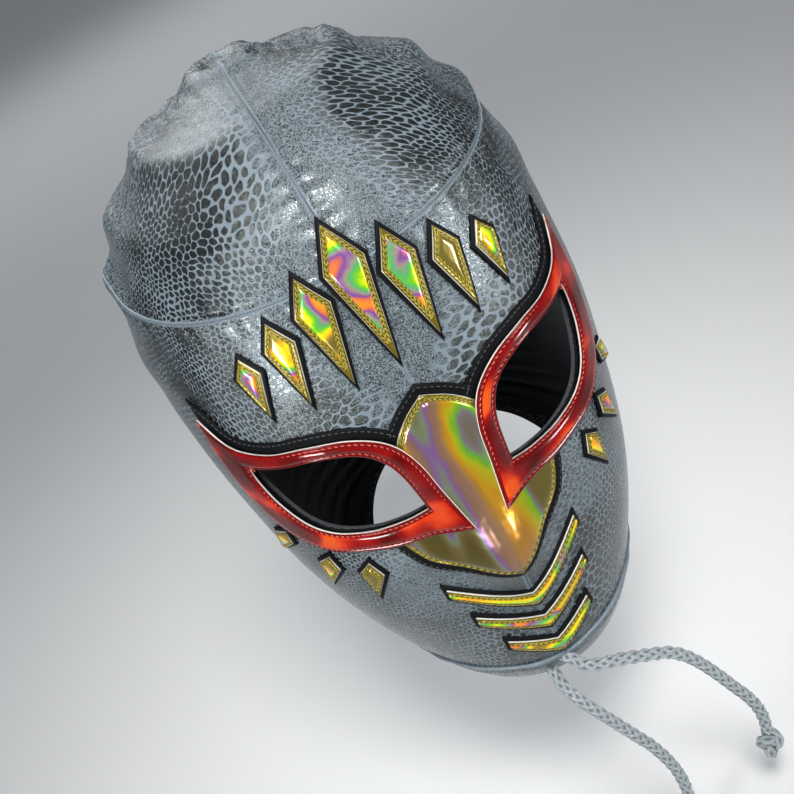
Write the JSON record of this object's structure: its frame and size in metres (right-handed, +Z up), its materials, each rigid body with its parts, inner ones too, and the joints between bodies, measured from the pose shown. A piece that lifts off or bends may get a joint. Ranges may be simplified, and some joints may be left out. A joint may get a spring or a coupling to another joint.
{
  "type": "luchador mask",
  "caption": "Full wrestling mask of scale-print cloth with pointed eye openings, vinyl trims, a laced back and two chin cords.",
  "frame": {"origin": "the inside of the crown's top, where the wearer's head carries the mask", "axes": "+Z up through the crown, -Y out of the face, +X to the viewer's right of the face"},
  "size_m": [0.1548, 0.1998, 0.3379],
  "materials": {
    "scale_cloth": "stretch cloth with a foil scale print, satin to glossy on the scales",
    "gold_vinyl": "glossy holographic gold vinyl with gold edge stitching",
    "red_vinyl": "glossy holographic red vinyl with edge stitching",
    "black_vinyl": "satin black vinyl backing",
    "braided_cord": "pale grey braided cord, matt"
  },
  "bodies": {
    "root": {"crown_panel_left": "scale_cloth", "crown_panel_right": "scale_cloth", "face_panel_left": "scale_cloth", "face_panel_right": "scale_cloth", "hem_band_left": "scale_cloth", "hem_band_right": "scale_cloth", "back_binding_left": "black_vinyl", "back_binding_right": "black_vinyl", "back_lace": "braided_cord", "eye_backing_left": "black_vinyl", "eye_backing_right": "black_vinyl", "eye_trim_left": "red_vinyl", "eye_trim_right": "red_vinyl", "nose_backing": "black_vinyl", "nose_piece": "gold_vinyl", "brow_backing_1": "black_vinyl", "brow_backing_2": "black_vinyl", "brow_backing_3": "black_vinyl", "brow_backing_4": "black_vinyl", "brow_backing_5": "black_vinyl", "brow_backing_6": "black_vinyl", "brow_backing_7": "black_vinyl", "brow_piece_1": "gold_vinyl", "brow_piece_2": "gold_vinyl", "brow_piece_3": "gold_vinyl", "brow_piece_4": "gold_vinyl", "brow_piece_5": "gold_vinyl", "brow_piece_6": "gold_vinyl", "brow_piece_7": "gold_vinyl", "cheek_backing_left_1": "black_vinyl", "cheek_backing_left_2": "black_vinyl", "cheek_backing_left_3": "black_vinyl", "cheek_backing_right_1": "black_vinyl", "cheek_backing_right_2": "black_vinyl", "cheek_backing_right_3": "black_vinyl", "cheek_piece_left_1": "gold_vinyl", "cheek_piece_left_2": "gold_vinyl", "cheek_piece_left_3": "gold_vinyl", "cheek_piece_right_1": "gold_vinyl", "cheek_piece_right_2": "gold_vinyl", "cheek_piece_right_3": "gold_vinyl", "chin_backing_1": "black_vinyl", "chin_backing_2": "black_vinyl", "chin_backing_3": "black_vinyl", "chin_chevron_1": "gold_vinyl", "chin_chevron_2": "gold_vinyl", "chin_chevron_3": "gold_vinyl", "tie_cord_left": "braided_cord", "tie_cord_right": "braided_cord", "tie_knot_left": "braided_cord", "tie_knot_right": "braided_cord"}
  },
  "joints": []
}
